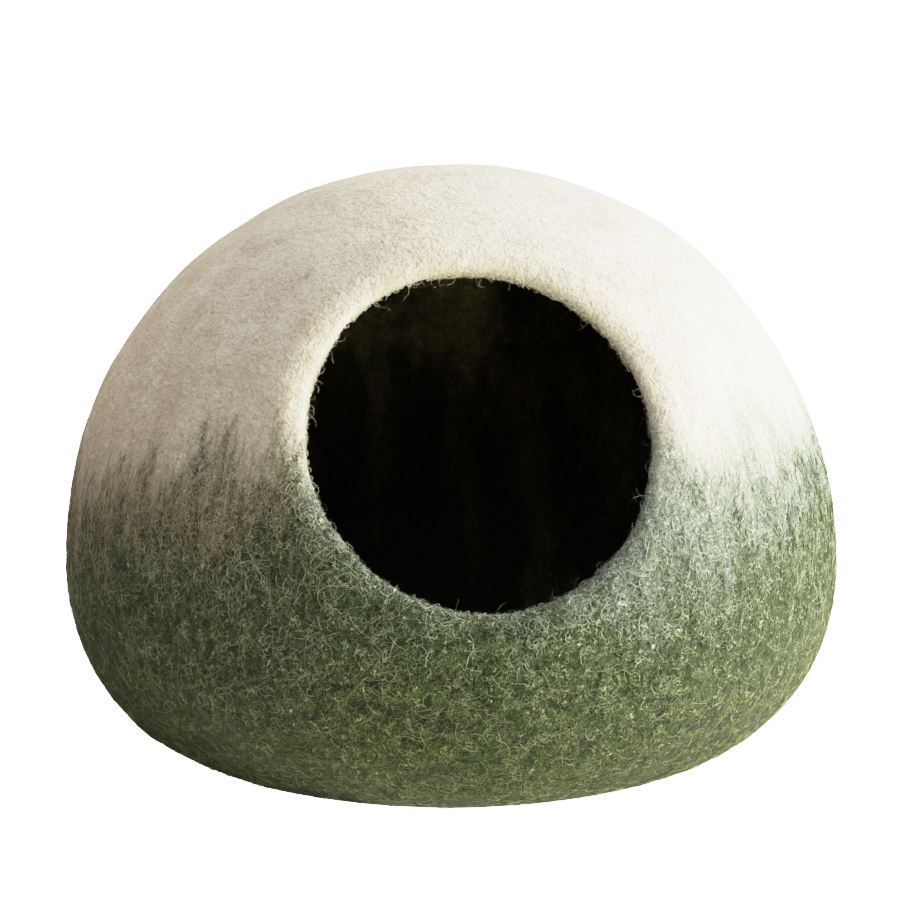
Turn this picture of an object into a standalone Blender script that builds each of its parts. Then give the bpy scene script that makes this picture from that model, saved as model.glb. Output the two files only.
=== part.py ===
"""Felt cat cave: one seamless shell of wet-felted wool with a round entrance.

Metres, +Z up. The origin is the middle of the flat underside and the entrance faces -Y. The outer face
is a turned bun: an elliptical lower side that rounds out from the flat underside to the widest part, and
a dome above it. Every point of the shell is placed by its direction from the heart, a point on the
body's axis level with the widest part, and the rings of the mesh run round the entrance.
"""

import math

import bmesh
import bpy
from mathutils import Vector, noise

# Body, outer face
WIDTH = 0.480
HEIGHT = 0.361
WIDEST_HEIGHT = 0.115
FLAT_RADIUS = 0.140
DOME_FULLNESS = 2.05  # 2 is an ellipse, more is squarer

# Felt wall
WALL = 0.0095
WALL_UNEVENNESS = 0.0006
WALL_PATCH = 0.070  # size of a thicker or thinner patch

# Entrance, as seen from the heart
ENTRANCE_RISE = math.radians(29.5)  # its axis points this far up from -Y
ENTRANCE_HALF_ANGLE = math.radians(24.05)
ENTRANCE_STRETCH = 0.024  # the hand-cut round is this much longer one way, and shorter across
ENTRANCE_STRETCH_WAY = math.radians(113.0)  # turned from +X, as seen from the front
LIP_ROLL = 0.0110  # the wall rolls in by this much at the rim
LIP_ROLL_WIDTH = 0.026  # and starts to, this far from it

# Hand-felted unevenness of the outer face: size of a swelling, its height, and where its pattern starts
SWELLINGS = (
    {"size": 0.150, "height": 0.0024, "start": Vector((5.5, 3.3, 8.9))},
    {"size": 0.060, "height": 0.0011, "start": Vector((1.5, 1.9, 8.6))},
)
LEVEL_BELOW = 0.020  # the swellings fade out over this height above the underside

# Mesh
SEGMENTS = 56
OUTER_RINGS = 30
INNER_RINGS = 25
LIP_STEPS = 5
RING_CROWDING = 1.45  # over 1, the rings stand closer near the rim
ANGLE_STEP = math.radians(0.5)  # for measuring the slope of the outer face

# Wool
WOOL_COLOUR = (0.42, 0.46, 0.34, 1.0)
WOOL_ROUGHNESS = 0.95

HEART = Vector((0.0, 0.0, WIDEST_HEIGHT))
ENTRANCE_AXIS = Vector((0.0, -math.cos(ENTRANCE_RISE), math.sin(ENTRANCE_RISE)))
ENTRANCE_RIGHT = Vector((1.0, 0.0, 0.0))
ENTRANCE_UP = ENTRANCE_AXIS.cross(ENTRANCE_RIGHT)


def clear_scene():
    for item in list(bpy.data.objects):
        bpy.data.objects.remove(item, do_unlink=True)


def smooth(share):
    """0 to 1, flat at both ends."""
    share = min(max(share, 0.0), 1.0)
    return share * share * (3.0 - 2.0 * share)


def direction_at(angle, turn):
    """The direction at this angle from the entrance's axis, turned round it from +X."""
    across = ENTRANCE_RIGHT * math.cos(turn) + ENTRANCE_UP * math.sin(turn)
    return ENTRANCE_AXIS * math.cos(angle) + across * math.sin(angle)


def turned_distance(direction):
    """From the heart to the smooth turned body, along a direction."""
    level = math.hypot(direction.x, direction.y)
    rise = direction.z
    half = WIDTH / 2
    if rise >= 0.0:
        across = (level / half) ** DOME_FULLNESS
        upward = (rise / (HEIGHT - WIDEST_HEIGHT)) ** DOME_FULLNESS
        return (across + upward) ** (-1.0 / DOME_FULLNESS)
    to_floor = WIDEST_HEIGHT / -rise
    if to_floor * level <= FLAT_RADIUS:
        return to_floor
    # The lower side is a quarter ellipse that stands on the edge of the flat underside
    reach = half - FLAT_RADIUS
    square = (level / reach) ** 2 + (rise / WIDEST_HEIGHT) ** 2
    linear = level * FLAT_RADIUS / reach**2
    rest = (FLAT_RADIUS / reach) ** 2 - 1.0
    return (linear + math.sqrt(linear**2 - square * rest)) / square


def rim_angle(turn):
    """From the entrance's axis to the clear edge of the entrance."""
    stretch = ENTRANCE_STRETCH * math.cos(2.0 * (turn - ENTRANCE_STRETCH_WAY))
    return ENTRANCE_HALF_ANGLE * (1.0 + stretch)


def swelling(point):
    """How far the outer face stands out from the turned body."""
    height = sum(w["height"] * noise.noise(point / w["size"] + w["start"]) for w in SWELLINGS)
    return height * smooth(point.z / LEVEL_BELOW)


def outer_point(angle, turn):
    """The outer face, with its swellings and with the wall rolled in near the rim."""
    direction = direction_at(angle, turn)
    distance = turned_distance(direction)
    from_rim = (angle - rim_angle(turn)) * distance
    roll = LIP_ROLL * max(1.0 - from_rim / LIP_ROLL_WIDTH, 0.0) ** 2
    return HEART + direction * (distance + swelling(HEART + direction * distance) - roll)


def outer_normal(angle, turn):
    along = outer_point(angle + ANGLE_STEP, turn) - outer_point(angle - ANGLE_STEP, turn)
    around = outer_point(angle, turn + ANGLE_STEP) - outer_point(angle, turn - ANGLE_STEP)
    return along.cross(around).normalized()


def wall_at(point):
    return WALL + WALL_UNEVENNESS * noise.noise(point / WALL_PATCH)


def inner_point(angle, turn):
    outside = outer_point(angle, turn)
    return outside - outer_normal(angle, turn) * wall_at(outside)


def ring_angles(first, rings):
    """Angles from the first ring nearly to the back, closer together near the first."""
    return [first + (math.pi - first) * (ring / rings) ** RING_CROWDING for ring in range(rings)]


def section(turn):
    """The wall's outline in the half plane at this turn: outer face, round the lip, inner face."""
    distance = turned_distance(direction_at(rim_angle(turn), turn))
    edge = rim_angle(turn) + WALL / 2 / distance
    outside = outer_point(edge, turn)
    inside = inner_point(edge, turn)
    middle = (outside + inside) / 2
    out = (outside - inside) / 2
    normal = out.normalized()
    around = outer_point(edge, turn + ANGLE_STEP) - outer_point(edge, turn - ANGLE_STEP)
    onward = normal.cross(around).normalized() * out.length
    points = [outer_point(angle, turn) for angle in reversed(ring_angles(edge, OUTER_RINGS))]
    for step in range(1, LIP_STEPS):
        swing = math.pi * step / LIP_STEPS
        points.append(middle + out * math.cos(swing) + onward * math.sin(swing))
    points += [inner_point(angle, turn) for angle in ring_angles(edge, INNER_RINGS)]
    return points


def felt_shell_mesh():
    form = bmesh.new()
    columns = []
    for segment in range(SEGMENTS):
        turn = 2.0 * math.pi * segment / SEGMENTS
        columns.append([form.verts.new(point) for point in section(turn)])
    back = outer_point(math.pi, 0.0)
    back_outside = form.verts.new(back)
    back_inside = form.verts.new(back - outer_normal(math.pi - ANGLE_STEP, 0.0) * wall_at(back))
    for column, following in zip(columns, columns[1:] + columns[:1]):
        for low in range(len(column) - 1):
            form.faces.new((column[low], following[low], following[low + 1], column[low + 1]))
        form.faces.new((back_outside, following[0], column[0]))
        form.faces.new((back_inside, column[-1], following[-1]))
    bmesh.ops.recalc_face_normals(form, faces=form.faces)
    mesh = bpy.data.meshes.new("felt_shell")
    form.to_mesh(mesh)
    form.free()
    mesh.shade_smooth()
    return mesh


def wool_felt():
    material = bpy.data.materials.new("wool_felt")
    material.use_nodes = True
    shader = material.node_tree.nodes["Principled BSDF"]
    shader.inputs["Base Color"].default_value = WOOL_COLOUR
    shader.inputs["Roughness"].default_value = WOOL_ROUGHNESS
    shader.inputs["Metallic"].default_value = 0.0
    return material


def build_felt_shell():
    shell = bpy.data.objects.new("felt_shell", felt_shell_mesh())
    shell.data.materials.append(wool_felt())
    bpy.context.scene.collection.objects.link(shell)
    return shell


clear_scene()
build_felt_shell()
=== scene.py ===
"""Felt cat cave: the looks of one seamless shell of wet-felted wool, in the frame of its solid.

The shell is laid up from natural cream wool above and sage green wool below, feathered into each other
while wet. Metres, +Z up; the origin is the middle of the flat underside and the entrance faces -Y.
"""

import logging
import math
from dataclasses import dataclass, field
from enum import Enum

import bpy
import numpy as np
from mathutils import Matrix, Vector, noise


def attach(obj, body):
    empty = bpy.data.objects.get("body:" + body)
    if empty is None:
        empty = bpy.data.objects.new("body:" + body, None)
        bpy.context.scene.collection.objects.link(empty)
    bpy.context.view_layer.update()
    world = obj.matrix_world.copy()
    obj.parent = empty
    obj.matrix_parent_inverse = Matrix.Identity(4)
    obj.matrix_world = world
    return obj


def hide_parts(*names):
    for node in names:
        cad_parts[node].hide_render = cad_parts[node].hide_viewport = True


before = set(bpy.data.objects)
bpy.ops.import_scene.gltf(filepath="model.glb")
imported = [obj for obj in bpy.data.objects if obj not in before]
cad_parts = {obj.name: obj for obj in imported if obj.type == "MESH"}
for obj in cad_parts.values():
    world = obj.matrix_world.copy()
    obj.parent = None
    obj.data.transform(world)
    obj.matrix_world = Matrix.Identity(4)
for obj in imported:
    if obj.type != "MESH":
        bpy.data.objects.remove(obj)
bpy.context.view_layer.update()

LOG = logging.getLogger("felt_cat_cave")
NODE = "felt_shell"
BODY = "root"

Socket = bpy.types.NodeSocket
Tree = bpy.types.NodeTree
Thing = bpy.types.Object
Material = bpy.types.Material
Pair = tuple[float, float]
Triple = tuple[float, float, float]
Paint = Socket | tuple[float, ...]


def linear(colour: str) -> tuple[float, float, float, float]:
    """Turns an sRGB hex colour into linear light.

    Args:
        colour: Six hex digits, red first.

    Returns:
        Red, green, blue and an alpha of one.
    """
    shares = [int(colour[start : start + 2], 16) / 255 for start in (0, 2, 4)]
    light = [share / 12.92 if share <= 0.04045 else ((share + 0.055) / 1.055) ** 2.4 for share in shares]
    return (light[0], light[1], light[2], 1.0)


def smooth(share: np.ndarray) -> np.ndarray:
    """Eases 0 to 1, flat at both ends."""
    share = np.clip(share, 0.0, 1.0)
    return share * share * (3.0 - 2.0 * share)


def read_numbers(rows: bpy.types.bpy_prop_collection, name: str, each: int = 1) -> np.ndarray:
    """Reads one property of a mesh's points, faces or marks.

    Args:
        rows: The points, faces or marks.
        name: The property.
        each: How many numbers each row holds.

    Returns:
        The numbers, one after the other.
    """
    values = np.zeros(len(rows) * each, np.float32)
    rows.foreach_get(name, values)
    return values


def mark_points(mesh: bpy.types.Mesh, name: str, values: np.ndarray) -> None:
    """Stores a number for each point of a mesh, or a vector where a row of values holds three.

    Args:
        mesh: The mesh.
        name: The mark's name.
        values: One row for each point.
    """
    kind, item = ("FLOAT_VECTOR", "vector") if values.ndim == 2 else ("FLOAT", "value")
    mesh.attributes.new(name, kind, "POINT").data.foreach_set(item, values.astype(np.float32).ravel())


def link_object(name: str, mesh: bpy.types.Mesh) -> Thing:
    """Makes an object of a mesh, at the origin.

    Args:
        name: The object's name.
        mesh: Its mesh.

    Returns:
        The object.
    """
    made = bpy.data.objects.new(name, mesh)
    bpy.context.scene.collection.objects.link(made)
    return made


def set_in_frame(piece: Thing, wool: Material) -> None:
    """Gives a piece its wool and sets it in the frame, in the solid's place.

    Args:
        piece: The finished mesh.
        wool: Its material.
    """
    piece.data.materials.clear()
    piece.data.materials.append(wool)
    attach(piece, BODY)
    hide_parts(NODE)


class Graph:
    """A node tree while it is being written."""

    def __init__(self, tree: Tree) -> None:
        """Keeps the tree.

        Args:
            tree: The tree that takes the nodes.
        """
        self.tree = tree

    def add(self, kind: str, inputs: dict | None = None, out: int | str = 0, **settings) -> Socket:
        """Adds one node with its settings and links.

        Args:
            kind: The node's type.
            inputs: A value or another node's socket for each input, by its number or name.
            out: The output that is wanted, by its number or name.
            **settings: The node's own options.

        Returns:
            That output.
        """
        node = self.tree.nodes.new(kind)
        for name, value in settings.items():
            setattr(node, name, value)
        for key, value in (inputs or {}).items():
            socket = node.inputs[key]
            if isinstance(value, Socket):
                self.tree.links.new(value, socket)
            else:
                socket.default_value = value
        return node.outputs[out] if node.outputs else node.inputs[0]


def new_material(name: str) -> tuple[Material, Graph]:
    """Starts a material with an empty tree.

    Args:
        name: The material's name.

    Returns:
        The material, and its tree.
    """
    material = bpy.data.materials.new(name)
    material.use_nodes = True
    material.node_tree.nodes.clear()
    return material, Graph(material.node_tree)


def ramp(value: Socket, between: tuple = (0.0, 1.0), to: tuple = (0.0, 1.0)) -> dict[str, Socket | float]:
    """The inputs that take a value evenly from its own range to another, and no further.

    Args:
        value: The value.
        between: The two ends of its own range.
        to: The two ends that it is taken to.

    Returns:
        Values by input name.
    """
    ends = {"From Min": between[0], "From Max": between[1], "To Min": to[0], "To Max": to[1]}
    return {"Value": value, **ends}


# ---------------------------------------------------------------------------------------------------
# The form of the shell
# ---------------------------------------------------------------------------------------------------


@dataclass(frozen=True)
class ShellForm:
    """The rule that the wall follows: a turned bun, seen from its heart and opened round the entrance."""

    width: float = 0.480
    height: float = 0.361
    widest_height: float = 0.115
    flat_radius: float = 0.140
    dome_fullness: float = 2.05
    wall: float = 0.0095
    wall_unevenness: float = 0.0006
    wall_patch: float = 0.070
    entrance_rise: float = math.radians(29.5)
    entrance_half_angle: float = math.radians(24.05)
    entrance_stretch: float = 0.024
    entrance_stretch_way: float = math.radians(113.0)
    lip_roll: float = 0.0082
    lip_roll_width: float = 0.0190
    level_below: float = 0.020
    # Size of a swelling, its height, and where its pattern starts
    swellings: tuple[tuple[float, float, Triple], ...] = (
        (0.150, 0.0024, (5.5, 3.3, 8.9)),
        (0.060, 0.0011, (1.5, 1.9, 8.6)),
    )

    @property
    def heart(self) -> np.ndarray:
        """The point that every part of the wall is measured from."""
        return np.array((0.0, 0.0, self.widest_height))

    @property
    def entrance_axis(self) -> np.ndarray:
        """The direction from the heart through the middle of the entrance."""
        return np.array((0.0, -math.cos(self.entrance_rise), math.sin(self.entrance_rise)))

    def directions(self, angle: np.ndarray, turn: np.ndarray) -> np.ndarray:
        """Directions at these angles from the entrance's axis, turned round it from +X.

        Args:
            angle: Angles from the axis.
            turn: Turns round it, of the same shape.

        Returns:
            Unit vectors, one more axis than the angles.
        """
        axis = self.entrance_axis
        right = np.array((1.0, 0.0, 0.0))
        up = np.cross(axis, right)
        across = np.cos(turn)[..., None] * right + np.sin(turn)[..., None] * up
        return np.cos(angle)[..., None] * axis + np.sin(angle)[..., None] * across

    def turned_distance(self, direction: np.ndarray) -> np.ndarray:
        """From the heart to the smooth turned body.

        Args:
            direction: Unit vectors.

        Returns:
            The distance along each.
        """
        level = np.hypot(direction[..., 0], direction[..., 1])
        rise = direction[..., 2]
        half = self.width / 2
        power = self.dome_fullness
        dome_height = self.height - self.widest_height
        dome = (level / half) ** power + (np.maximum(rise, 0.0) / dome_height) ** power
        dome = dome ** (-1.0 / power)
        to_floor = self.widest_height / np.maximum(-rise, 1e-9)
        reach = half - self.flat_radius
        square = (level / reach) ** 2 + (rise / self.widest_height) ** 2
        slope = level * self.flat_radius / reach**2
        rest = (self.flat_radius / reach) ** 2 - 1.0
        side = (slope + np.sqrt(np.maximum(slope**2 - square * rest, 0.0))) / square
        below = np.where(to_floor * level <= self.flat_radius, to_floor, side)
        return np.where(rise >= 0.0, dome, below)

    def rim_angle(self, turn: np.ndarray) -> np.ndarray:
        """From the entrance's axis to the clear edge of the entrance."""
        stretch = self.entrance_stretch * np.cos(2.0 * (turn - self.entrance_stretch_way))
        return self.entrance_half_angle * (1.0 + stretch)

    def swelling(self, points: np.ndarray) -> np.ndarray:
        """How far the outer face stands out from the turned body.

        Args:
            points: Points of the turned body.

        Returns:
            A height for each.
        """
        flat = points.reshape(-1, 3)
        height = np.zeros(len(flat))
        for size, most, start in self.swellings:
            places = flat / size + np.array(start)
            height += most * np.array([noise.noise(place) for place in places])
        return (height * smooth(flat[:, 2] / self.level_below)).reshape(points.shape[:-1])

    def outer(self, angle: np.ndarray, turn: np.ndarray) -> np.ndarray:
        """The outer face, with its swellings and with the wall rolled in near the rim.

        Args:
            angle: Angles from the entrance's axis.
            turn: Turns round it, of the same shape.

        Returns:
            Points, one more axis than the angles.
        """
        direction = self.directions(angle, turn)
        distance = self.turned_distance(direction)
        from_rim = (angle - self.rim_angle(turn)) * distance
        roll = self.lip_roll * np.maximum(1.0 - from_rim / self.lip_roll_width, 0.0) ** 2
        swollen = distance + self.swelling(self.heart + direction * distance[..., None]) - roll
        return self.heart + direction * swollen[..., None]

    def wall_at(self, points: np.ndarray) -> np.ndarray:
        """The felt's thickness at points of the outer face.

        Args:
            points: The points.

        Returns:
            A thickness for each.
        """
        flat = points.reshape(-1, 3) / self.wall_patch
        uneven = np.array([noise.noise(place) for place in flat])
        return self.wall + self.wall_unevenness * uneven.reshape(points.shape[:-1])


@dataclass
class FeltShell:
    """The whole wall as one fine closed skin: outer face, round lip and inner face."""

    form: ShellForm
    segments: int = 320
    outer_rings: int = 172
    inner_rings: int = 66
    lip_steps: int = 10
    ring_crowding: float = 1.25
    guard: float = math.radians(0.6)  # an extra ring this far past the rim gives the first normals
    outer_reach: float = 0.235  # from the heart to the outer face, on average
    inner_reach: float = 0.225  # and to the inner one
    back_from_rim: float = 0.6  # from the rim to the middle of the back, along the wall
    lump_size: float = 0.016
    lump_height: float = 0.00055
    lump_start: float = 3.1
    dent_size: float = 0.045
    dent_height: float = 0.0009
    dent_start: float = 7.7
    flat_up_to: float = 0.001  # the underside stays flat below this
    skin: Thing | None = None

    def build(self) -> Thing:
        """Lays the rings of the skin and felts its relief into it.

        Returns:
            The shell.
        """
        rings, inside, from_rim = self.lay_rings()
        mesh = self.join_rings(rings, inside, from_rim)
        raw = link_object("felt_shell_raw", mesh)
        self.skin = bake_down(raw, "felt_shell_skin", self.relief_tree(), self.relief_sizes())
        return self.skin

    def ring_angles(self, first: np.ndarray, rings: int) -> np.ndarray:
        """Angles from the first ring nearly to the back, closer together near the first.

        Args:
            first: The first ring's angle at each turn.
            rings: How many rings.

        Returns:
            One row for each ring.
        """
        share = (np.arange(rings) / rings) ** self.ring_crowding
        return first[None, :] + (math.pi - first[None, :]) * share[:, None]

    def lay_rings(self) -> tuple[np.ndarray, np.ndarray, np.ndarray]:
        """Places every ring, from the back round the outer face and the lip to the back of the room.

        Returns:
            The points, how far inside the room each is from 0 to 1, and its distance from the rim.
        """
        form = self.form
        turns = np.arange(self.segments) * (2.0 * math.pi / self.segments)
        rim = form.rim_angle(turns)
        distance = form.turned_distance(form.directions(rim, turns))
        edge = rim + form.wall / 2 / distance
        outer_angles = np.vstack([edge[None, :] - self.guard, self.ring_angles(edge, self.outer_rings)])
        outer = form.outer(outer_angles, np.broadcast_to(turns, outer_angles.shape))
        normals = self.normals(outer)
        outer, normals, outer_angles = outer[1:], normals[1:], outer_angles[1:]
        inner_angles = self.ring_angles(edge, self.inner_rings)
        picked = np.array([self.nearest_ring(outer_angles, row) for row in inner_angles])
        columns = np.arange(self.segments)
        wall = form.wall_at(outer)[..., None]
        deep = normals * wall
        inner = np.stack([outer[row, columns] - deep[row, columns] for row in picked])
        lip, swings = self.round_lip(outer[0], inner[0])
        points = np.concatenate([outer[::-1], lip, inner])
        inside = np.concatenate([np.zeros(self.outer_rings), swings / math.pi, np.ones(self.inner_rings)])
        far_out = ((outer_angles - edge[None, :]) * self.outer_reach)[::-1]
        far_in = (inner_angles - edge[None, :]) * self.inner_reach
        from_rim = np.concatenate([far_out, np.zeros((len(swings), self.segments)), far_in])
        return points, np.repeat(inside[:, None], self.segments, axis=1), from_rim

    def round_lip(self, outside: np.ndarray, inside: np.ndarray) -> tuple[np.ndarray, np.ndarray]:
        """Rounds the rim, from the outer face's first ring to the inner face's.

        Args:
            outside: The outer face's first ring.
            inside: The inner face's.

        Returns:
            The lip's rings, and the angle that each has gone round the lip.
        """
        middle = (outside + inside) / 2
        out = (outside - inside) / 2
        around = np.roll(outside, -1, axis=0) - np.roll(outside, 1, axis=0)
        onward = np.cross(out, around)
        onward *= (np.linalg.norm(out, axis=1) / np.linalg.norm(onward, axis=1))[:, None]
        swings = math.pi * np.arange(1, self.lip_steps) / self.lip_steps
        rings = [middle + out * math.cos(swing) + onward * math.sin(swing) for swing in swings]
        return np.stack(rings), swings

    @staticmethod
    def nearest_ring(angles: np.ndarray, wanted: np.ndarray) -> np.ndarray:
        """The outer ring that stands nearest to each wanted angle.

        Args:
            angles: The outer rings' angles, one row for each ring.
            wanted: One angle for each turn.

        Returns:
            A ring number for each turn.
        """
        return np.abs(angles - wanted[None, :]).argmin(axis=0)

    @staticmethod
    def normals(grid: np.ndarray) -> np.ndarray:
        """Outward directions on a grid of points.

        Args:
            grid: The points, rings by turns.

        Returns:
            A unit vector for each.
        """
        along = np.gradient(grid, axis=0)
        around = np.roll(grid, -1, axis=1) - np.roll(grid, 1, axis=1)
        normal = np.cross(along, around)
        return normal / np.maximum(np.linalg.norm(normal, axis=2, keepdims=True), 1e-12)

    def join_rings(self, rings: np.ndarray, inside: np.ndarray, from_rim: np.ndarray) -> bpy.types.Mesh:
        """Joins the rings into one closed mesh and marks where each point lies.

        Args:
            rings: The points, rings by turns.
            inside: From 0 on the outer face to 1 on the inner one.
            from_rim: Distance from the rim.

        Returns:
            The mesh.
        """
        count, turns = rings.shape[:2]
        back_outside = rings[0].mean(axis=0)
        back_inside = rings[-1].mean(axis=0)
        points = np.vstack([rings.reshape(-1, 3), back_outside, back_inside])
        row, column = np.meshgrid(np.arange(count - 1), np.arange(turns), indexing="ij")
        here = (row * turns + column).ravel()
        beside = (row * turns + (column + 1) % turns).ravel()
        faces = np.stack([here, beside, beside + turns, here + turns], axis=1).tolist()
        last = count * turns
        for turn in range(turns):
            following = (turn + 1) % turns
            faces.append((last, following, turn))
            faces.append((last + 1, (count - 1) * turns + turn, (count - 1) * turns + following))
        mesh = bpy.data.meshes.new("felt_shell_skin")
        mesh.from_pydata(points.tolist(), [], faces)
        mark_points(mesh, "inside", np.append(inside.ravel(), (0.0, 1.0)))
        mark_points(mesh, "from_rim", np.append(from_rim.ravel(), (self.back_from_rim,) * 2))
        mesh.shade_smooth()
        mesh.update()
        return mesh

    def relief_sizes(self) -> dict[str, float]:
        """The relief tree's inputs.

        Returns:
            Values by input name.
        """
        return {
            "Lump size": self.lump_size,
            "Lump height": self.lump_height,
            "Dent size": self.dent_size,
            "Dent height": self.dent_height,
            "Flat below": self.form.level_below,
        }

    def relief_tree(self) -> Tree:
        """Writes the rule of the felted relief: lumps and dents that fade out towards the underside.

        Returns:
            The tree.
        """
        tree = new_tree("felt_relief", tuple(self.relief_sizes()))
        graph = Graph(tree)
        given = tree.nodes.new("NodeGroupInput").outputs
        place = graph.add("GeometryNodeInputPosition")
        heights = []
        for kind, start in (("Lump", self.lump_start), ("Dent", self.dent_start)):
            scale = graph.add("ShaderNodeMath", {0: 1.0, 1: given[f"{kind} size"]}, operation="DIVIDE")
            pattern = graph.add(
                "ShaderNodeTexNoise",
                {"Vector": place, "W": start, "Scale": scale, "Detail": 1.0, "Roughness": 0.5},
                noise_dimensions="4D",
            )
            level = graph.add("ShaderNodeMath", {0: pattern, 1: 0.5}, operation="SUBTRACT")
            tall = graph.add("ShaderNodeMath", {0: given[f"{kind} height"], 1: 2.0}, operation="MULTIPLY")
            heights.append(graph.add("ShaderNodeMath", {0: level, 1: tall}, operation="MULTIPLY"))
        height = graph.add("ShaderNodeMath", {0: heights[0], 1: heights[1]}, operation="ADD")
        up = graph.add("ShaderNodeSeparateXYZ", {0: place}, out="Z")
        share = graph.add("ShaderNodeMapRange", ramp(up, (self.flat_up_to, given["Flat below"])))
        height = graph.add("ShaderNodeMath", {0: height, 1: share}, operation="MULTIPLY")
        outward = graph.add("GeometryNodeInputNormal")
        offset = graph.add("ShaderNodeVectorMath", {0: outward, "Scale": height}, operation="SCALE")
        moved = graph.add("GeometryNodeSetPosition", {"Geometry": given["Geometry"], "Offset": offset})
        finish_tree(graph, moved, given["Material"])
        return tree

    def dress(self, wool: Material) -> None:
        """Gives the shell its wool and sets it in the frame.

        Args:
            wool: The felt's material.
        """
        self.skin.name = "felt_wall"
        self.skin.data.shade_smooth()
        set_in_frame(self.skin, wool)


# ---------------------------------------------------------------------------------------------------
# Trees that lay wool
# ---------------------------------------------------------------------------------------------------


def new_tree(name: str, sizes: tuple[str, ...], seeded: bool = False) -> Tree:
    """Starts a tree that changes a mesh, with its named inputs.

    Args:
        name: The tree's name.
        sizes: The names of its number inputs.
        seeded: Whether it has a seed.

    Returns:
        The tree.
    """
    tree = bpy.data.node_groups.new(name, "GeometryNodeTree")
    tree.interface.new_socket("Geometry", in_out="INPUT", socket_type="NodeSocketGeometry")
    for size in sizes:
        tree.interface.new_socket(size, in_out="INPUT", socket_type="NodeSocketFloat")
    if seeded:
        tree.interface.new_socket("Seed", in_out="INPUT", socket_type="NodeSocketInt")
    tree.interface.new_socket("Material", in_out="INPUT", socket_type="NodeSocketMaterial")
    tree.interface.new_socket("Geometry", in_out="OUTPUT", socket_type="NodeSocketGeometry")
    return tree


def finish_tree(graph: Graph, geometry: Socket, material: Socket) -> None:
    """Ends a tree with real geometry in its material.

    Args:
        graph: The tree.
        geometry: What it has made.
        material: Its material input.
    """
    real = graph.add("GeometryNodeRealizeInstances", {"Geometry": geometry})
    dressed = graph.add("GeometryNodeSetMaterial", {"Geometry": real, "Material": material})
    graph.add("NodeGroupOutput", {0: dressed})


def bake_down(source: Thing, name: str, tree: Tree, values: dict) -> Thing:
    """Runs a tree on an object and keeps the result as a plain mesh.

    Args:
        source: The object that the tree changes; it is removed afterwards.
        name: The new object's name.
        tree: The tree.
        values: Its inputs, by name.

    Returns:
        The new object, at the origin.
    """
    modifier = source.modifiers.new("rule", "NODES")
    modifier.node_group = tree
    for item in tree.interface.items_tree:
        if item.in_out == "INPUT" and item.name in values:
            modifier[item.identifier] = values[item.name]
    bpy.context.view_layer.update()
    graph = bpy.context.evaluated_depsgraph_get()
    mesh = bpy.data.meshes.new_from_object(source.evaluated_get(graph))
    mesh.name = name
    made = link_object(name, mesh)
    old = source.data
    bpy.data.objects.remove(source)
    bpy.data.meshes.remove(old)
    return made


STRAND_SIZES = (
    "Density",
    "Length",
    "Length spread",
    "Thickness",
    "Curl size",
    "Curl amount",
    "Lift",
    "Spin",
)


class Lie(Enum):
    """How strands lie on the felt."""

    FLAT = "flat"
    STANDING = "standing"


@dataclass(frozen=True)
class Strands:
    """One sort of loose strands on the felt, and where it grows: from low to high, in full between.

    A sweep is the angle that a strand bends through. Grain is the lean from straight down, and a strand
    turns away from it by up to spin.
    """

    name: str
    count: int
    length: float
    length_spread: float
    thickness: float
    sweeps: tuple[float, ...]
    lie: Lie = Lie.FLAT
    curl_size: float = 0.007
    curl_amount: float = 0.0016
    lift: float = 0.0003
    spin: float = math.pi
    steps: int = 5
    seed: int = 1
    low: float = 0.006
    full_low: float = 0.012
    full_high: float = 0.175
    high: float = 0.215
    rim_only: bool = False
    grain: float = 0.0


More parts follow.
